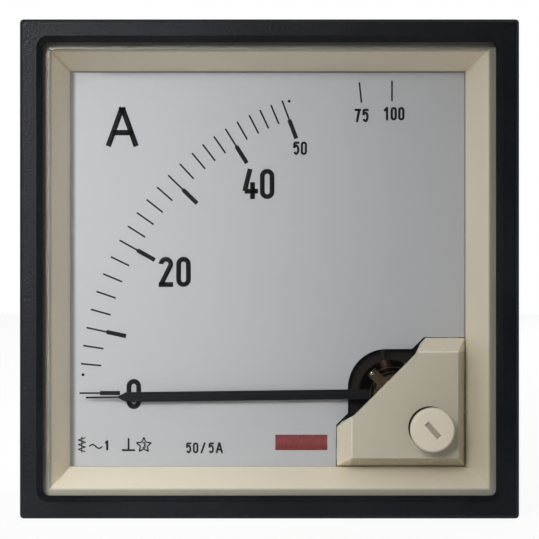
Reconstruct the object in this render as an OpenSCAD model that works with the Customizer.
// Square panel meter for alternating current, 96 mm front, with a moving-iron movement.
// X is to the right and Z is up, seen from the front. Y runs into the panel.
// The origin is the centre of the panel's face, where the front frame's back lies.

/* [Front frame] */
// Side of the square front frame
bezel_w = 96; // [80:1:144]
// Depth of the front frame, from the panel's face to its own
bezel_depth = 8; // [7.5:0.5:11]
// Thickness of the lip that holds the window
lip_t = 1.6; // [1.2:0.2:2.4]
// Width of the lip, from the frame's edge to its opening
lip_w = 4.3; // [3.8:0.1:5]
// Distance from the frame's edge to the housing's side
overlap = 2.75; // [2.5:0.25:3.25]
// Corner radius of that opening
opening_r = 1.2; // [1:0.2:5]
// Width of the slope on the lip's inner edge
lip_slope = 1.1; // [0.4:0.1:1.6]
// Width of the slope round the front's outer edge
edge_slope = 0.6; // [0.2:0.1:1]
// Radius of the frame's outer corners
corner_r = 0.8; // [0.5:0.1:2]
// Length of the snap tongues behind the panel's face
tongue_len = 8; // [7:0.5:12]
// Width of the snap tongues
tongue_w = 12; // [8:1:20]
// Thickness of the snap tongues
tongue_t = 1.4; // [1.1:0.1:1.5]

/* [Window] */
// Thickness of the glass
glass_t = 2; // [1.5:0.25:2.5]
// Radius of the glass's corners
glass_r = 1; // [0.5:0.1:2]

/* [Inner frame] */
// Thickness of the inner frame's flange, behind the glass
flange_t = 1.5; // [1:0.1:2]
// Thickness of the inner frame's sloping walls
funnel_t = 1; // [0.7:0.1:1.1]
// Width of the flat rim in front of the slopes
rim_w = 1.1; // [0.6:0.1:1.6]
// Width of the sloping walls, seen from the front
wall_slope = 3.2; // [2.8:0.1:4]

/* [Housing] */
// Depth of the housing behind the panel's face
case_depth = 52; // [50:1:70]
// Thickness of the housing's sides
case_t = 2; // [1.8:0.1:2.1]
// Thickness of the housing's rear wall
back_t = 2.5; // [2:0.25:4]
// Radius of the housing's long edges
case_r = 1.5; // [0.5:0.25:2]
// Radius of the four corner posts
post_r = 3.6; // [3.3:0.1:4.2]

/* [Dial] */
// Depth of the dial's face behind the panel's face
dial_depth = 6; // [5.6:0.2:8]
// Thickness of the dial plate
dial_t = 0.6; // [0.4:0.1:1]
// Width of the rim of dial that is held behind the inner frame
dial_rim = 2.6; // [1.5:0.1:3.2]
// Height of the printed marks
ink_t = 0.05; // [0.03:0.01:0.1]
// Gap between the scale marks' outer ends and the inner frame
scale_margin = 1.8; // [1:0.1:4]
// Length of a fine scale mark
mark_len = 4.1; // [2:0.1:6]
// Width of a fine scale mark
mark_w = 0.34; // [0.2:0.02:0.6]
// Length of the bar at a main division
block_len = 4; // [2:0.1:6]
// Width of the bar at a main division
block_w = 0.85; // [0.5:0.05:1.4]
// Diameter of the two dots that bound the true range
dot_d = 0.6; // [0.4:0.05:1]

/* [Carrier plate] */
// Thickness of the plate that carries the dial and the movement
carrier_t = 1.6; // [1.4:0.1:2.4]
// Distance of the pivot from the dial's lower and right edges
pivot_inset = 14.6; // [14.2:0.1:15]
// Half the side of the dial's cut-out round the pivot
cut_half = 8.8; // [8.4:0.1:9.4]
// Corner radius of that cut-out
cut_r = 7.7; // [5:0.1:8.2]

/* [Corner cover] */
// Reach of the corner cover to the left of the pivot, and above it
cover_reach = 11; // [10.6:0.1:11.6]
// Height of the corner cover in front of the dial
cover_h = 8.4; // [8.3:0.1:8.8]
// Wall thickness of the corner cover
cover_t = 1.2; // [1:0.1:1.3]
// Width of the slopes on the corner cover's four straight sides
cover_slope = 2.3; // [1.5:0.1:2.6]
// Distance from the pivot to the corner cover's slanting edge
slant_gap = 3; // [2:0.1:4]
// Diameter of the hole under the zero adjuster
cover_hole_d = 8.4; // [7:0.1:9]

/* [Pointer] */
// Distance by which the pointer's tip stays inside the scale marks' outer ends
tip_inset = 1.4; // [0.6:0.1:4]
// Width of the pointer's bar
bar_w = 1.95; // [1.2:0.05:3]
// Width of the needle at the pointer's end
needle_w = 0.34; // [0.2:0.02:0.6]
// Length of the needle
needle_len = 6.4; // [4:0.2:12]
// Length of the bevel between bar and needle
bevel_len = 1.6; // [0.5:0.1:3]
// Thickness of the pointer's sheet
pointer_t = 0.3; // [0.2:0.05:0.4]
// Gap between the pointer and the dial
pointer_gap = 1.8; // [1.6:0.1:2]
// Angle by which the resting pointer lies below the zero mark
rest_angle = 0.7; // [0:0.1:1]

/* [Balance] */
// Radius of the balance cross's round arms
arm_r = 0.4; // [0.3:0.05:0.5]
// Reach of the balance cross's arms
arm_reach = 8.7; // [7.6:0.1:8.8]
// Diameter of the weight behind the pointer
tail_weight_d = 3.2; // [2:0.05:3.4]
// Length of the weight behind the pointer
tail_weight_len = 2.3; // [1:0.05:3]
// Diameter of the two side weights
side_weight_d = 2.2; // [1.6:0.1:3]
// Length of the two side weights
side_weight_len = 1.8; // [1:0.1:2.6]
// Distance of each side weight from the pivot (mm)
side_at = 6; // [5:0.1:7.2]
// How far the side arms lean from square to the pointer (degrees)
side_lean = 13; // [0:1:20]

/* [Coil] */
// Radius of the bobbin's bore
bore_r = 6.5; // [6:0.1:7]
// Thickness of the bobbin's core
core_t = 1; // [0.8:0.1:1.4]
// Radius of the bobbin's flanges
bobbin_r = 15; // [14.6:0.1:15.6]
// Thickness of the bobbin's flanges
bobbin_flange_t = 1.4; // [1:0.1:2]
// Diameter of the coil's wire
wire_d = 1.6; // [1.2:0.1:1.8]
// Number of turns side by side
turns = 10; // [8:1:11]
// Number of layers of wire
layers = 3; // [2:1:3]

/* [Irons] */
// Thickness of the iron sheets
iron_t = 0.4; // [0.3:0.05:0.5]
// Length of the iron sheets along the coil
iron_len = 12; // [8:0.5:13]
// Angle that the moving iron spans
moving_iron_angle = 60; // [40:5:70]
// Angle that the fixed iron spans
fixed_iron_angle = 100; // [80:5:120]
// Gap between the two irons
iron_gap = 0.5; // [0.3:0.05:0.6]

/* [Spindle and bearings] */
// Radius of the spindle
spindle_r = 0.8; // [0.6:0.05:0.9]
// Radius of the jewel screws
jewel_screw_r = 1.5; // [1.4:0.05:1.6]
// Depth of the cup in each jewel
cup_depth = 0.6; // [0.5:0.05:0.65]
// Thickness of the bridge in front of the pointer
bridge_t = 1.2; // [1:0.1:1.3]
// Width of the bridge's arms
bridge_w = 3; // [2.8:0.05:3.1]
// Radius of the bridge's pillars
pillar_r = 1.2; // [1.1:0.05:1.25]

/* [Damping] */
// Outer radius of the air chamber
chamber_r = 15; // [14:0.1:15.4]
// Depth of the air chamber
chamber_depth = 6; // [5:0.5:8]
// Thickness of the chamber's walls
chamber_t = 1.2; // [1:0.1:1.4]
// Gap between the vane and the chamber
vane_gap = 0.5; // [0.3:0.1:0.8]
// Thickness of the vane
vane_t = 0.3; // [0.2:0.05:0.5]

/* [Hairspring] */
// Number of turns of the hairspring
spring_turns = 4; // [3:1:5]
// Thickness of the hairspring's strip
spring_t = 0.12; // [0.08:0.02:0.16]
// Width of the hairspring's strip
spring_w = 0.4; // [0.3:0.05:0.45]
// Radius at which the hairspring ends
spring_r = 5.6; // [5:0.1:5.8]

/* [Zero adjuster] */
// Diameter of the adjuster's head
knob_d = 8.6; // [8:0.1:9.5]
// Thickness of the adjuster's head
knob_t = 1.5; // [1.2:0.05:1.55]
// Length of the screwdriver slot
slot_len = 3.5; // [2.5:0.1:5]
// Width of the screwdriver slot
slot_w = 0.85; // [0.6:0.05:1.2]
// Depth of the screwdriver slot
slot_depth = 0.9; // [0.4:0.05:0.9]
// Radius of the adjuster's shank in the glass
shank_r = 2.5; // [2.4:0.05:2.6]
// Radius of the eccentric pin
pin_r = 0.8; // [0.6:0.05:0.9]
// Offset of the eccentric pin from the adjuster's axis
throw = 1.2; // [0.8:0.1:1.4]
// Distance of the adjuster to the right of the pivot
adjuster_right = 6.6; // [6.2:0.1:7]
// Distance of the adjuster below the pivot
adjuster_down = 6.2; // [5.8:0.1:6.6]
// Thickness of the zero lever
lever_t = 0.8; // [0.5:0.1:0.8]

/* [Terminals] */
// Diameter of the terminal studs
stud_d = 5; // [4.6:0.2:6]
// Distance between the two studs
stud_spacing = 36; // [30:1:38]
// Free length of a stud behind its nuts
stud_free = 6.8; // [5:0.2:10]
// Width across the flats of the nuts
nut_flats = 8; // [8:0.5:10]
// Thickness of the outer nuts
nut_t = 4; // [3:0.25:5]
// Thickness of the inner nuts
inner_nut_t = 2.7; // [2:0.1:3.5]
// Thickness of the washers
washer_t = 1; // [0.6:0.1:1.5]

/* [Fixing clamps] */
// Radius of the clamp screws
clamp_screw_r = 1.8; // [1.5:0.1:1.9]
// Gap between the panel's face and the resting screw's tip
clamp_open = 10.5; // [10:0.5:12]
// Distance by which a clamp screw can be driven forward
clamp_travel = 9; // [6:0.5:9]
// Width of a clamp
clamp_w = 15; // [14:0.5:18]
// Thickness of a clamp, out from the housing
clamp_t = 5; // [4.8:0.1:5.4]
// Length of a clamp's threaded block
clamp_block = 10; // [6:1:12]
// Distance from the block's end to the housing's rear face
clamp_back = 9; // [6:1:12]
// Length of a clamp's two legs, in front of its block
clamp_leg = 13; // [8:1:16]

/* [Fits] */
// Radial clearance of what turns or slides
running = 0.05; // [0.02:0.01:0.08]
// Gap between fixed pieces that are slipped together
seat = 0.1; // [0.06:0.01:0.12]

/* [Hidden] */
$fn = 64;

black = [0.13, 0.13, 0.14];
beige = [0.84, 0.81, 0.74];
brass = [0.78, 0.62, 0.32];
steel = [0.66, 0.67, 0.69];
copper = [0.66, 0.36, 0.2];

reach = 200;      // longer than anything that it cuts
nip = 0.01;       // by which a cut runs past a face
root3 = sqrt(3);

// depths of the layers, from the front to the rear
glass_y = lip_t - bezel_depth;
flange_y = glass_y + glass_t;
case_y = flange_y + flange_t;
cover_y = dial_depth - cover_h;
carrier_y = dial_depth + dial_t;
coil_y = carrier_y + carrier_t;
pointer_y = dial_depth - pointer_gap - pointer_t;
hub_y = pointer_y - 0.25;
spring_y = hub_y - 0.4 - spring_w;
bridge_y = spring_y - 0.8 - bridge_t;
lever_y = bridge_y - running - lever_t;
boss_y = lever_y - running;
locknut_t = 0.8;

// the squares of the front: the opening, the dial's window and the housing
opening_w = bezel_w - 2 * lip_w;
window_w = opening_w - 2 * (rim_w + wall_slope);
case_w = bezel_w - 2 * overlap;
pivot = window_w / 2 - pivot_inset;
scale_r = pivot + window_w / 2 - scale_margin;
pointer_len = scale_r - tip_inset;

// the housing and what fits in it
pocket_w = case_w + 3 * seat;
inside = case_w / 2 - case_t;
dial_half = window_w / 2 + dial_rim;
carrier_half = inside - 1.5 * seat;
inner_r = 0.3;
post_at = inside - post_r + 0.4;
rim_half = opening_w / 2 - rim_w;
tongue_out = case_w / 2 + 0.6;
tongue_in = tongue_out - tongue_t;
barb = 0.6;

// the corner cover's outline
cover_low = pivot - cover_reach;
cover_high = window_w / 2 - 1.5 * seat;
peg_r = 1;
peg_places = [[cover_low + 3.6, peg_r / 2 + cover_t - cover_high],
    [cover_high - cover_t - peg_r / 2, -cover_low - 4.8]];

// the coil and the chamber
winding_r = bore_r + core_t + wire_d * (1 + (layers - 1) * root3 / 2);
winding_len = turns * wire_d;
rear_flange_y = coil_y + bobbin_flange_t + winding_len;
chamber_y = rear_flange_y + bobbin_flange_t;
floor_y = chamber_y + chamber_depth;
boss_end_y = floor_y + chamber_t + 3;
ear_reach = 17.3;
ear_angles = [45, 135, 225];
chamber_ears = [55, 145];

// the moving system: angles run clockwise from the zero mark, which points left,
// and the stops are counted from the pointer's rest
low_stop = -2;
high_stop = 92;
stop_play = 0.3;
hub_r = 2.2;
tail_at = arm_reach - tail_weight_len / 2;
side_angles = [90 - side_lean, 270 - side_lean];
fixed_iron_r = bore_r - running;
moving_iron_r = fixed_iron_r - iron_t - iron_gap;
iron_y = coil_y + bobbin_flange_t + (winding_len - iron_len) / 2;
iron_slant = 35;

// bearings
cup_r = 0.55;
jewel_r = jewel_screw_r / 2;
jewel_t = 0.8;
front_cup_y = bridge_y + bridge_t + 0.35;
rear_cup_y = floor_y - 0.4;
tip_gap = 0.05;

// the pillars stand on the carrier just outside its hole
pillar_reach = cut_half + pillar_r + 0.5;
screw_head_r = bridge_w / 2 - 0.1;

// the zero adjuster and its lever
adjuster_x = pivot + adjuster_right;
adjuster_z = -pivot - adjuster_down;
adjuster_reach = norm([adjuster_right, adjuster_down]);
adjuster_angle = -atan2(adjuster_down, adjuster_right);
lever_ring_r = 2.5;
tab_r = spring_r + 0.1;

// the terminals
pad_t = 0.8;
nut_y = case_depth + pad_t;
washer_y = nut_y + inner_nut_t;
outer_nut_y = washer_y + washer_t;
stud_end = outer_nut_y + nut_t + stud_free;
groove_y = stud_end - stud_free - 0.2;
groove_w = 1.2;
stud_head_t = 3;
lug_t = 0.8;
lug_r = 5;
lead_r = wire_d / 2;
lead_at = bobbin_r + 2;
lead_y = case_depth - back_t - lead_r - running;
stud_head_y = case_depth - back_t - lug_t - stud_head_t;

// the clamps
clamp_x = tongue_out + 1.5 * seat + clamp_screw_r;
lug_to = case_depth - clamp_back;
lug_from = lug_to - clamp_block;
hook_y = lug_from - clamp_leg;
hook_t = 3;
leg_w = 3;
screw_end = lug_to + clamp_travel + 1;

// value on the scale against its angle in degrees, clockwise from zero
scale_law = [[0, 0], [6, 5.4], [10, 12.1], [20, 29.3], [34, 50.2], [44, 62.8], [50, 69.4],
    [75, 84], [100, 90]];
main_values = [0, 10, 20, 30, 40, 50];
fine_values = [for (v = [6 : 2 : 48]) if (v % 10 != 0) v];
over_values = [75, 100];
dot_angles = [3.4, 70.6];

function scale_angle(value) = lookup(value, scale_law);
function on_circle(r, a) = [r * cos(a), r * sin(a)];

// ---- shared shapes ----

// a front-view outline, x to the right and y up, carried from depth y0 to y1
module slab(y0, y1) {
    translate([0, y1, 0]) rotate([90, 0, 0]) linear_extrude(y1 - y0) children();
}

// a round bar along the depth
module bar(r, y0, y1) {
    translate([0, y1, 0]) rotate([90, 0, 0]) cylinder(h = y1 - y0, r = r);
}

// a cone along the depth, with radius r0 at y0 and r1 at y1
module taper(r0, r1, y0, y1) {
    translate([0, y1, 0]) rotate([90, 0, 0]) cylinder(h = y1 - y0, r1 = r1, r2 = r0);
}

// a six-sided prism along the depth
module hexagon(flats, y0, y1) {
    translate([0, y1, 0]) rotate([90, 0, 0])
        cylinder(h = y1 - y0, r = flats / root3, $fn = 6);
}

module at_pivot() {
    translate([pivot, 0, -pivot]) children();
}

// turns a shape drawn to the right of the pivot to an angle clockwise from the zero mark
module on_scale(a) {
    at_pivot() rotate([0, a - 180, 0]) children();
}

module rounded_square(w, r) {
    square([w - 2 * r, w], center = true);
    square([w, w - 2 * r], center = true);
    for (x = [-1, 1], z = [-1, 1])
        translate([x * (w / 2 - r), z * (w / 2 - r)]) circle(r);
}

// a square block whose half side goes from h0 at y0 to h1 at y1
module square_taper(h0, h1, y0, y1) {
    intersection_for(a = [0, 90])
        rotate([0, a, 0]) translate([0, 0, -reach / 2]) linear_extrude(reach)
            polygon([[-h0, y0], [h0, y0], [h1, y1], [-h1, y1]]);
}

// the same with round corners, whose centres lie at a distance c each way
module round_taper(h0, h1, y0, y1, c) {
    for (a = [0, 90])
        rotate([0, a, 0]) translate([0, 0, -c]) linear_extrude(2 * c)
            polygon([[-h0, y0], [h0, y0], [h1, y1], [-h1, y1]]);
    for (x = [-c, c], z = [-c, c])
        translate([x, 0, z]) taper(h0 - c, h1 - c, y0, y1);
}

// a block from low to high in X and from -high to -low in Z, with sloping sides
module slope_block(low, high, y_top, y_base, slope) {
    outline = [[low, y_base], [high, y_base], [high - slope, y_top], [low + slope, y_top]];
    intersection() {
        translate([0, 0, -reach / 2]) linear_extrude(reach) polygon(outline);
        rotate([0, 90, 0]) translate([0, 0, -reach / 2]) linear_extrude(reach)
            polygon(outline);
    }
}

// a strip of 2D from the origin to a distance along an angle, with a round end
module limb(len, w, a) {
    rotate(a) {
        translate([0, -w / 2]) square([len, w]);
        translate([len, 0]) circle(w / 2);
    }
}

// everything above the slanting line at a distance from the pivot
module above_slant(distance) {
    translate([pivot, -pivot]) rotate(135) translate([distance, -reach / 2])
        square([reach, reach]);
}

module wedge(r, from, to) {
    polygon([[0, 0], on_circle(r, from), on_circle(r, from + (to - from) / 3),
        on_circle(r, from + (to - from) * 2 / 3), on_circle(r, to)]);
}

// a countersunk screw that points to the rear, with its head's top at y
module sunk_screw(y, r, len) {
    difference() {
        union() {
            taper(2 * r, r, y, y + r);
            bar(r, y + r - nip, y + len);
        }
        rotate([0, 45, 0]) translate([-2 * r, y - 1, -r / 4]) cube([4 * r, 1.4, r / 2]);
    }
}

module sunk_hole(y, r, len) {
    taper(2 * r + seat, r + seat, y - nip, y + r + nip);
    bar(r + seat, y, y + len);
}

// a slotted screw whose head stands in front of y
module head_screw(y, r, len, head_r, head_t) {
    difference() {
        union() {
            bar(head_r, y - head_t, y);
            bar(r, y - nip, y + len);
        }
        rotate([0, 30, 0]) translate([-head_r, y - head_t - 1, -r / 4])
            cube([2 * head_r, 1 + head_t / 2, r / 2]);
    }
}

// ---- the casing ----

module tongue() {
    end = tongue_len;
    translate([0, 0, -tongue_w / 2]) linear_extrude(tongue_w)
        polygon([[tongue_in, -2], [tongue_out, -2], [tongue_out, end],
            [tongue_in + 0.3, end], [tongue_in - barb, end - 1.6],
            [tongue_in - barb, end - 2.2], [tongue_in, end - 2.2]]);
}

module front_bezel() {
    color(black) {
        difference() {
            intersection() {
                slab(-bezel_depth, 0) rounded_square(bezel_w, corner_r);
                square_taper(bezel_w / 2 - edge_slope, bezel_w / 2 + bezel_depth,
                    -bezel_depth, edge_slope);
            }
            round_taper(opening_w / 2 + lip_slope + nip, opening_w / 2, -bezel_depth - nip,
                glass_y + nip, opening_w / 2 - opening_r);
            slab(glass_y, nip) rounded_square(pocket_w, glass_r + seat);
        }
        for (a = [0 : 90 : 270]) rotate([0, a, 0]) tongue();
    }
}

module glass_window() {
    color([0.85, 0.9, 0.92, 0.25]) difference() {
        slab(glass_y, flange_y - nip) rounded_square(case_w - seat, glass_r);
        translate([adjuster_x, 0, adjuster_z])
            bar(shank_r + running, glass_y - 1, flange_y + 1);
    }
}

module inner_frame() {
    color(beige) difference() {
        union() {
            slab(flange_y, case_y) rounded_square(case_w - seat, glass_r);
            square_taper(rim_half + funnel_t, window_w / 2 + funnel_t, flange_y, dial_depth);
        }
        square_taper(rim_half, window_w / 2, flange_y, dial_depth);
        slab(flange_y - 1, flange_y + nip) square(2 * rim_half, center = true);
        slab(dial_depth - nip, dial_depth + 1) square(window_w, center = true);
    }
}

module clamp_slots() {
    for (side = [-1, 1], z = [-1, 1])
        translate([side * case_w / 2, hook_y + hook_t / 2, z * (clamp_w - leg_w) / 2])
            cube([2 * case_t + 2, hook_t + 2 * seat, leg_w + 2 * seat], center = true);
}

module rear_housing() {
    color(black) difference() {
        union() {
            difference() {
                slab(case_y, case_depth) rounded_square(case_w, case_r);
                slab(case_y - 1, case_depth - back_t) rounded_square(2 * inside, inner_r);
            }
            // corner posts behind the carrier plate
            for (x = [-1, 1], z = [-1, 1]) translate([x * post_at, 0, z * post_at])
                bar(post_r, coil_y, case_depth - back_t + nip);
            // pads under the terminal nuts, and the rib between them
            for (side = [-1, 1]) translate([side * stud_spacing / 2, 0, 0])
                bar(lug_r + 2, case_depth - nip, nut_y);
            slab(case_depth - nip, outer_nut_y) square([2, 22], center = true);
        }
        for (a = [0 : 90 : 270]) rotate([0, a, 0])
            translate([tongue_in - seat, case_y - 1, -tongue_w / 2 - seat])
                cube([5, tongue_len + seat - case_y + 1, tongue_w + 2 * seat]);
        for (a = [0 : 90 : 270]) rotate([0, a, 0])
            translate([tongue_in - barb - seat, tongue_len - 2.2 - seat, -tongue_w / 2 - seat])
                cube([5, 2.2 + 2 * seat, tongue_w + 2 * seat]);
        clamp_slots();
        for (x = [-1, 1], z = [-1, 1]) translate([x * post_at, 0, z * post_at])
            bar(1 + seat / 2, coil_y - 1, coil_y + 11);
        for (side = [-1, 1]) translate([side * stud_spacing / 2, 0, 0])
            bar(stud_d / 2 + seat, case_depth - back_t - 1, nut_y + 1);
    }
}

// ---- the dial and its carrier ----

// the dial's cut-out round the pivot, rounded only where the cover leaves it in view
module cut_out() {
    rounded_square(2 * cut_half, cut_r);
    translate([cut_r - cut_half, -cut_half]) square([2 * cut_half - cut_r, 2 * cut_half]);
    translate([-cut_half, -cut_half]) square([2 * cut_half, 2 * cut_half - cut_r]);
}

// the corner cover's own outline, grown by a gap, and the cut-out round the pivot
module movement_window(gap) {
    difference() {
        translate([cover_low - gap, -cover_high - gap])
            square(cover_high - cover_low + 2 * gap);
        above_slant(slant_gap + 4 * seat);
    }
    translate([pivot, -pivot]) difference() {
        cut_out();
        rotate(-45) translate([0, -reach / 2]) square(reach);
    }
}

module dial_plate() {
    color([0.93, 0.94, 0.95]) slab(dial_depth, carrier_y) difference() {
        rounded_square(2 * dial_half, 1);
        movement_window(1.5 * seat);
    }
}

// a bar of the scale, from radius r - len to r
module scale_bar(angle, r, len, w) {
    rotate(180 - angle) translate([r - len, -w / 2]) square([len, w]);
}

module scale_marks() {
    color(black) slab(dial_depth - ink_t, dial_depth) translate([pivot, -pivot]) {
        for (v = concat(fine_values, over_values))
            scale_bar(scale_angle(v), scale_r, mark_len, mark_w);
        for (v = main_values) {
            scale_bar(scale_angle(v), scale_r, mark_len + nip, mark_w);
            scale_bar(scale_angle(v), scale_r - mark_len, block_len, block_w);
        }
        for (a = dot_angles)
            rotate(180 - a) translate([scale_r - dot_d, 0]) circle(dot_d / 2);
    }
}

module corner_cover() {
    high = cover_high;
    wall = cover_t;
    color(beige) {
        difference() {
            union() {
                slope_block(cover_low, high, cover_y, dial_depth - 0.4, cover_slope);
                slope_block(cover_low, high, dial_depth - 0.4 - nip, carrier_y, 0);
            }
            // the hollow, open at the rear and along the slanting edge
            slope_block(cover_low + wall, high - wall, cover_y + wall, dial_depth - 0.4,
                cover_slope - wall / 2);
            slope_block(cover_low + wall, high - wall, dial_depth - 0.4 - nip,
                carrier_y + 1, 0);
            slab(cover_y - 1, carrier_y + 1) above_slant(slant_gap);
            // the fine slope along the slanting edge
            translate([pivot, cover_y, -pivot]) rotate([0, -135, 0])
                translate([slant_gap, 0, 0]) rotate([0, 0, 45])
                    cube([0.5, 0.5, reach], center = true);
            translate([adjuster_x, 0, adjuster_z])
                bar(cover_hole_d / 2, cover_y - 1, cover_y + wall + 1);
        }
        for (p = peg_places)
            translate([p[0], 0, p[1]]) bar(peg_r, dial_depth - 3, coil_y - 2 * seat);
    }
}

module pillar_places() {
    for (a = [12, -102]) rotate([0, -a, 0]) translate([pillar_reach, 0, 0]) children();
}

module ear_places() {
    for (a = ear_angles) rotate([0, -a, 0]) translate([ear_reach, 0, 0]) children();
}

module carrier_plate() {
    color(black) difference() {
        slab(carrier_y, coil_y) difference() {
            rounded_square(2 * carrier_half, inner_r + seat);
            translate([pivot, -pivot]) rounded_square(2 * cut_half, cut_r);
            for (p = peg_places) translate(p) circle(peg_r + seat);
        }
        for (x = [-1, 1], z = [-1, 1]) translate([x * post_at, 0, z * post_at])
            sunk_hole(carrier_y, 1, carrier_t + 1);
        at_pivot() ear_places() sunk_hole(carrier_y, 0.8, carrier_t + 1);
        at_pivot() pillar_places() bar(0.8 + seat / 2, carrier_y - 1, coil_y + 1);
    }
}

module carrier_screws() {
    color(steel) for (x = [-1, 1], z = [-1, 1])
        translate([x * post_at, 0, z * post_at]) sunk_screw(carrier_y + nip, 1, 10);
}

// ---- the fixed half of the movement ----

module coil_bobbin() {
    flange = bobbin_flange_t;
    color([0.2, 0.15, 0.12]) at_pivot() difference() {
        union() {
            bar(bobbin_r, coil_y, coil_y + flange);
            ear_places() bar(2.5, coil_y, coil_y + 3.4);
            slab(coil_y, coil_y + flange) for (a = ear_angles) limb(ear_reach, 5, a);
            bar(bore_r + core_t, coil_y, chamber_y);
            bar(bobbin_r, rear_flange_y, chamber_y);
        }
        bar(bore_r, coil_y - 1, chamber_y + 1);
        ear_places() bar(0.8 + seat / 2, coil_y - 1, coil_y + 6);
        for (a = chamber_ears) rotate([0, -a, 0]) translate([chamber_r - 2.6, 0, 0])
            bar(0.7 + seat / 2, rear_flange_y - 1, chamber_y + 1);
    }
}

// layers of turns lying in each other's grooves, as one ring with a scalloped outside
module coil_winding() {
    base = bore_r + core_t + running;
    color(copper) at_pivot() translate([0, rear_flange_y, 0]) rotate([90, 0, 0])
        rotate_extrude($fn = 72) {
            translate([base, running])
                square([winding_r - base - wire_d / 2, winding_len - 2 * running]);
            for (i = [0 : turns - 1])
                translate([winding_r - wire_d / 2 - running, (i + 0.5) * wire_d])
                    circle(wire_d / 2 - running / 2, $fn = 20);
        }
}

module bobbin_screws() {
    color(steel) at_pivot() ear_places() sunk_screw(carrier_y + nip, 0.8, 5);
}

// a curved sheet of iron that starts at angle a and spans some degrees
module iron_sheet(r, span, a) {
    slab(iron_y, iron_y + iron_len) intersection() {
        difference() {
            circle(r);
            circle(r - iron_t);
        }
        wedge(2 * r, a, a + span);
    }
}

module fixed_iron() {
    start = moving_iron_angle / 2 + rest_angle;
    middle = start - fixed_iron_angle / 2;
    color(steel) at_pivot() difference() {
        iron_sheet(fixed_iron_r, fixed_iron_angle, start - fixed_iron_angle);
        // the sheet narrows in the direction in which the moving iron turns
        rotate([0, -middle, 0]) translate([0, iron_y + iron_len * 0.68, 0])
            rotate([iron_slant, 0, 0]) translate([0, 0, -reach / 2])
                cube([reach, reach, reach]);
    }
}

// the sector that the vane sweeps, grown by a margin on its two straight sides
module vane_sector(r, margin) {
    from = rest_angle - high_stop - stop_play;
    to = rest_angle - low_stop + stop_play;
    intersection() {
        circle(r);
        union() {
            wedge(2 * r, from, to);
            for (a = [from, to])
                rotate(a) translate([0, -margin]) square([2 * r, 2 * margin]);
        }
    }
}

module damping_chamber() {
    r = chamber_r;
    t = chamber_t;
    play = vane_t / 2 + running;
    color(black) at_pivot() difference() {
        union() {
            // the chamber's walls follow the vane's sweep
            slab(chamber_y, floor_y + t) {
                vane_sector(r, play + t);
                circle(hub_r + 2.4);
            }
            // ears under the two screws
            for (a = chamber_ears) {
                slab(floor_y, floor_y + t) limb(r - 2.6, 4.4, a);
                rotate([0, -a, 0]) translate([r - 2.6, 0, 0]) bar(2.2, chamber_y, floor_y + t);
            }
            bar(3.4, floor_y, boss_end_y);
        }
        slab(chamber_y - 1, floor_y) {
            vane_sector(r - t, play);
            circle(hub_r + 1.2);
        }
        bar(jewel_screw_r + running / 2, floor_y - 1, boss_end_y + 1);
        for (a = chamber_ears) rotate([0, -a, 0]) translate([r - 2.6, 0, 0])
            bar(0.7 + seat / 2, chamber_y - 1, boss_end_y);
    }
}

module chamber_screws() {
    len = chamber_depth + chamber_t + bobbin_flange_t;
    color(steel) at_pivot() for (a = chamber_ears)
        rotate([0, -a, 0]) translate([chamber_r - 2.6, 0, 0])
            translate([0, 2 * (floor_y + chamber_t), 0]) mirror([0, 1, 0])
                head_screw(floor_y + chamber_t, 0.7, len, 1.5, 1);
}

module bridge_pillars() {
    color(brass) at_pivot() pillar_places() difference() {
        union() {
            bar(pillar_r, bridge_y + bridge_t, carrier_y);
            bar(0.8, carrier_y - nip, coil_y - seat);
        }
        bar(0.6 + seat / 2, bridge_y, bridge_y + bridge_t + 3);
    }
}

module front_bridge() {
    color(brass) at_pivot() difference() {
        union() {
            slab(bridge_y, bridge_y + bridge_t) {
                circle(4);
                limb(pillar_reach, bridge_w, 12);
                limb(pillar_reach, bridge_w, -102);
            }
            bar(lever_ring_r, boss_y, bridge_y + nip);
        }
        bar(jewel_screw_r + running / 2, boss_y - 1, bridge_y + bridge_t + 1);
        pillar_places() bar(0.6 + seat, bridge_y - 1, bridge_y + bridge_t + 1);
    }
}

module bridge_screws() {
    color(steel) at_pivot() pillar_places() head_screw(bridge_y, 0.6, 3.8, screw_head_r, 0.9);
}

// the jewel screw at the rear is the front one, turned round
module at_both_ends() {
    at_pivot() translate([0, front_cup_y, 0]) children();
    at_pivot() translate([0, rear_cup_y, 0]) mirror([0, 1, 0]) children();
}

module jewel_screws() {
    len = front_cup_y - boss_y + locknut_t + 0.15;
    rear_len = boss_end_y - rear_cup_y + locknut_t + 0.15;
    color(brass) {
        at_pivot() jewel_screw(front_cup_y, len);
        at_pivot() translate([0, rear_cup_y, 0]) mirror([0, 1, 0])
            jewel_screw(0, rear_len);
    }
}

// a screw that ends at y, with a seat for the jewel there and a slot at its other end
module jewel_screw(y, len) {
    difference() {
        bar(jewel_screw_r, y - len, y);
        bar(jewel_r + running / 2, y - jewel_t - running, y + 1);
        rotate([0, 60, 0]) translate([-jewel_screw_r, y - len - 1, -0.2])
            cube([2 * jewel_screw_r, 1.5, 0.4]);
    }
}

module jewel_cups() {
    color([0.7, 0.1, 0.2]) at_both_ends() difference() {
        bar(jewel_r, -jewel_t, 0);
        taper(0, cup_r, -cup_depth, nip);
    }
}

module jewel_locknuts() {
    color(brass) at_pivot() for (y = [boss_y - locknut_t, boss_end_y]) difference() {
        hexagon(5.5, y, y + locknut_t);
        bar(jewel_screw_r + running / 2, y - 1, y + locknut_t + 1);
    }
}

// ---- the moving half of the movement ----

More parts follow.
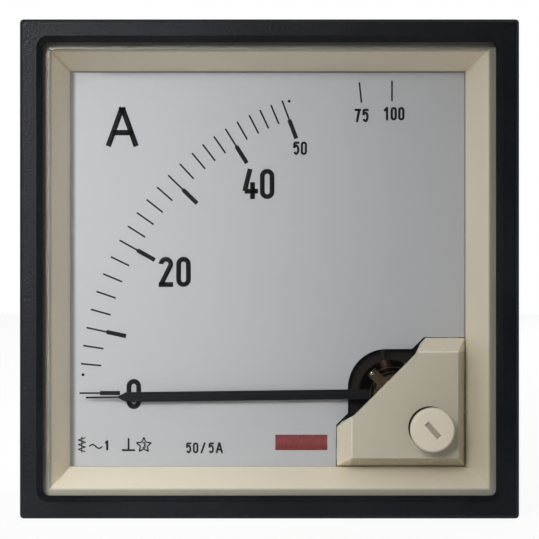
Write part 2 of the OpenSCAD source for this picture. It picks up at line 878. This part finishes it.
module spindle() {
    front = front_cup_y - cup_depth + tip_gap * 4;
    rear = rear_cup_y + cup_depth - tip_gap * 4;
    neck = 0.3;
    color(steel) at_pivot() {
        bar(spindle_r, front_cup_y + 0.2, rear_cup_y - 0.2);
        taper(0.06, neck, front, front_cup_y + 0.2 + nip);
        taper(neck, 0.06, rear_cup_y - 0.2 - nip, rear);
    }
}

module pointer() {
    bar_end = pointer_len - needle_len - bevel_len;
    color(black) on_scale(-rest_angle) difference() {
        union() {
            slab(pointer_y, pointer_y + pointer_t) {
                circle(hub_r);
                translate([0, -bar_w / 2]) square([bar_end, bar_w]);
                polygon([[bar_end - nip, -bar_w / 2], [bar_end + bevel_len, -needle_w / 2],
                    [bar_end + bevel_len, needle_w / 2], [bar_end - nip, bar_w / 2]]);
                translate([bar_end + bevel_len - nip, -needle_w / 2])
                    square([needle_len, needle_w]);
            }
            // a pressed ridge along the bar
            translate([hub_r, 0, 0]) slab(pointer_y - 0.15, pointer_y + nip)
                translate([0, -bar_w / 6]) square([bar_end - hub_r - bar_w / 2, bar_w / 3]);
        }
        bar(spindle_r + running / 2, pointer_y - 1, pointer_y + 1);
    }
}

module balance_cross() {
    top = pointer_y + pointer_t;
    arm_y = top + arm_r;
    color(brass) on_scale(-rest_angle) difference() {
        union() {
            bar(hub_r, top, top + 2 * arm_r);
            for (a = concat(side_angles, [180])) rotate([0, a, 0]) translate([0, arm_y, 0])
                rotate([0, 90, 0]) cylinder(h = arm_reach, r = arm_r, $fn = 24);
        }
        bar(spindle_r + running / 2, top - 1, top + 2);
    }
}

module arm_weight(at, d, len) {
    arm_y = pointer_y + pointer_t + arm_r;
    translate([at - len / 2, arm_y, 0]) rotate([0, 90, 0]) difference() {
        cylinder(h = len, r = d / 2, $fn = 32);
        translate([0, 0, -1]) cylinder(h = len + 2, r = arm_r + running / 2, $fn = 24);
    }
}

module balance_weights() {
    color(steel) on_scale(-rest_angle) {
        rotate([0, 180, 0]) arm_weight(tail_at, tail_weight_d, tail_weight_len);
        for (a = side_angles) rotate([0, a, 0])
            arm_weight(side_at, side_weight_d, side_weight_len);
    }
}

module moving_iron() {
    half = moving_iron_angle / 2;
    web_r = moving_iron_r - iron_t / 2;
    color(steel) on_scale(180 - rest_angle) difference() {
        union() {
            iron_sheet(moving_iron_r, moving_iron_angle, -half);
            // a web at each end carries the sheet on the spindle
            for (y = [iron_y, iron_y + iron_len - iron_t]) slab(y, y + iron_t) {
                translate([0, -1]) square([web_r, 2]);
                circle(1.6);
            }
        }
        bar(spindle_r + running / 2, iron_y - 1, iron_y + iron_len + 1);
    }
}

module damping_vane() {
    front = chamber_y + vane_gap;
    rear = floor_y - vane_gap;
    outer = chamber_r - chamber_t - vane_gap;
    color([0.8, 0.8, 0.82]) on_scale(180 - rest_angle) difference() {
        union() {
            bar(hub_r - 0.6, front, rear - 0.6);
            translate([0, front, -vane_t / 2]) cube([outer, rear - front, vane_t]);
        }
        bar(spindle_r + running / 2, front - 1, rear + 1);
    }
}

module spring_collet() {
    color(brass) at_pivot() difference() {
        bar(1.5, spring_y - 0.1, hub_y + 0.1);
        bar(spindle_r + running / 2, spring_y - 1, hub_y + 1);
    }
}

module hairspring() {
    steps = 24;
    start = 1.5 + spring_t / 2 + running;
    end = spring_r - spring_t / 2 - running;
    last = spring_turns * steps;
    // the strip's middle line winds out from the collet to the lever's tab
    mid = [for (i = [0 : last]) start + (end - start) * i / last];
    turn = [for (i = [0 : last]) 135 - 360 * (last - i) / steps];
    color(brass) at_pivot() slab(spring_y, spring_y + spring_w) polygon(concat(
        [for (i = [0 : last]) on_circle(mid[i] + spring_t / 2, turn[i])],
        [for (i = [last : -1 : 0]) on_circle(mid[i] - spring_t / 2, turn[i])]));
}

// ---- the zero adjustment ----

module zero_lever() {
    ring_r = lever_ring_r + running;
    pin_at = adjuster_reach + throw;
    slot = pin_r + 2 * running;
    color(brass) at_pivot() difference() {
        union() {
            slab(lever_y, lever_y + lever_t) {
                circle(ring_r + 1.2);
                limb(pin_at + 0.6, 2 * slot + 2.4, adjuster_angle);
                rotate(135) translate([0, -1]) square([tab_r + 0.6, 2]);
            }
            // the tab that holds the hairspring's outer end
            slab(lever_y, spring_y + spring_w) rotate(135) translate([tab_r, -1])
                square([0.6, 2]);
        }
        bar(ring_r, lever_y - 1, lever_y + lever_t + 1);
        slab(lever_y - 1, lever_y + lever_t + 1) rotate(adjuster_angle)
            translate([adjuster_reach - throw - slot, -slot]) square([20, 2 * slot]);
    }
}

module zero_adjuster() {
    top = glass_y - running - knob_t;
    collar_y = flange_y + running;
    color(beige) translate([adjuster_x, 0, adjuster_z]) difference() {
        union() {
            translate([0, top + knob_t, 0]) rotate([90, 0, 0]) rotate_extrude() {
                square([knob_d / 2 - 0.6, knob_t]);
                square([knob_d / 2, knob_t - 0.6]);
                translate([knob_d / 2 - 0.6, knob_t - 0.6]) circle(0.6, $fn = 32);
            }
            bar(shank_r, top + knob_t - nip, collar_y + nip);
            bar(shank_r + 0.5, collar_y, collar_y + 0.7);
            rotate([0, -adjuster_angle, 0]) translate([throw, 0, 0])
                bar(pin_r, collar_y, lever_y + lever_t - running);
        }
        rotate([0, 48, 0]) translate([-slot_len / 2, top - 1, -slot_w / 2])
            cube([slot_len, 1 + slot_depth, slot_w]);
    }
}

// ---- the terminals ----

module at_studs() {
    for (side = [-1, 1]) translate([side * stud_spacing / 2, 0, 0]) children();
}

// a stretch of a lead from one point to another, and the soldered joint at a corner
module stretch(a, b) {
    way = b - a;
    translate(a) rotate([0, acos(way[2] / norm(way)), atan2(way[1], way[0])])
        cylinder(h = norm(way), r = lead_r, $fn = 24);
}

module bead(a, behind) {
    translate([a[0], 0, a[2]]) bar(lead_r * 1.25, a[1] - lead_r * 1.25, a[1] + behind);
}

// a lead leaves the winding, runs to the rear wall and crosses to a stud's lug
module lead(angle, side) {
    stud = [side * stud_spacing / 2, lead_y, 0];
    first = on_circle(winding_r + running, angle);
    turned = on_circle(lead_at, angle);
    y = rear_flange_y - wire_d;
    a = [pivot + first[0], y, first[1] - pivot];
    b = [pivot + turned[0], y, turned[1] - pivot];
    c = [b[0], lead_y, b[2]];
    towards = (stud - c) / norm(stud - c);
    d = stud - (lug_r + 0.4) * towards;
    difference() {
        union() {
            stretch(a, b);
            translate([b[0], 0, b[2]]) bar(lead_r, b[1], c[1]);
            stretch(c, d);
            bead(b, lead_r * 1.25);
            bead(c, lead_r * 0.7);
            // the lug's sleeve and ring
            translate([stud[0], 0, stud[2]]) bar(lug_r, lead_y + lead_r - lug_t, lead_y + lead_r);
            translate(d) rotate([0, -atan2(towards[2], towards[0]), 0])
                translate([-3, -lead_r - 0.2, -lead_r - 0.5])
                    cube([3.6, 2 * lead_r + 0.1, 2 * lead_r + 1]);
        }
        translate([stud[0], 0, 0]) bar(stud_d / 2 + seat, lead_y - 3, lead_y + 3);
        slab(lead_y + lead_r, lead_y + 5) square(reach, center = true);
    }
}

module coil_leads() {
    color(copper) {
        lead(75, 1);
        lead(35, -1);
    }
}

module terminal_studs() {
    r = stud_d / 2;
    head = stud_head_y - running;
    color(brass) at_studs() difference() {
        union() {
            hexagon(nut_flats, head, head + stud_head_t);
            bar(r, head, stud_end - 0.5);
            taper(r, r - 0.5, stud_end - 0.5 - nip, stud_end);
        }
        // the thread runs out in a groove behind the outer nut
        difference() {
            bar(r + 1, groove_y, groove_y + groove_w);
            bar(r - 0.4, groove_y - 1, groove_y + groove_w + 1);
        }
    }
}

module nut(y, t) {
    difference() {
        hexagon(nut_flats, y, y + t);
        bar(stud_d / 2 + running, y - 1, y + t + 1);
    }
}

module inner_nuts() {
    color(brass) at_studs() nut(nut_y, inner_nut_t);
}

module washers() {
    color(brass) at_studs() difference() {
        bar(lug_r, washer_y, washer_y + washer_t);
        bar(stud_d / 2 + seat, washer_y - 1, washer_y + washer_t + 1);
    }
}

module terminal_nuts() {
    color(brass) at_studs() nut(outer_nut_y, nut_t);
}

// ---- the clamps that hold the meter in its panel ----

// the clamp on the right side
module clamp() {
    x = case_w / 2 + seat / 2;
    color(steel) difference() {
        union() {
            translate([x, lug_from, -clamp_w / 2]) cube([clamp_t, lug_to - lug_from, clamp_w]);
            for (z = [-clamp_w / 2, clamp_w / 2 - leg_w]) {
                translate([x, hook_y, z]) cube([2, lug_from - hook_y + nip, leg_w]);
                translate([x - case_t, hook_y, z]) cube([case_t + nip, hook_t, leg_w]);
            }
        }
        translate([clamp_x, 0, 0]) bar(clamp_screw_r + running, lug_from - 1, lug_to + 1);
    }
}

module clamp_screw() {
    r = clamp_screw_r;
    color(steel) translate([clamp_x, 0, 0]) difference() {
        union() {
            taper(r - 0.6, r, clamp_open, clamp_open + 0.6);
            bar(r, clamp_open + 0.6 - nip, screw_end);
        }
        translate([-r - 1, screw_end - 1.2, -0.4]) cube([2 * r + 2, 2, 0.8]);
    }
}

module left_clamp() {
    mirror([1, 0, 0]) clamp();
}

module right_clamp() {
    clamp();
}

module left_clamp_screw() {
    mirror([1, 0, 0]) clamp_screw();
}

module right_clamp_screw() {
    clamp_screw();
}

front_bezel();
glass_window();
inner_frame();
rear_housing();
dial_plate();
scale_marks();
corner_cover();
carrier_plate();
carrier_screws();
coil_bobbin();
coil_winding();
bobbin_screws();
fixed_iron();
damping_chamber();
chamber_screws();
bridge_pillars();
front_bridge();
bridge_screws();
jewel_screws();
jewel_cups();
jewel_locknuts();
spindle();
pointer();
balance_cross();
balance_weights();
moving_iron();
damping_vane();
spring_collet();
hairspring();
zero_lever();
zero_adjuster();
coil_leads();
terminal_studs();
inner_nuts();
washers();
terminal_nuts();
left_clamp();
right_clamp();
left_clamp_screw();
right_clamp_screw();
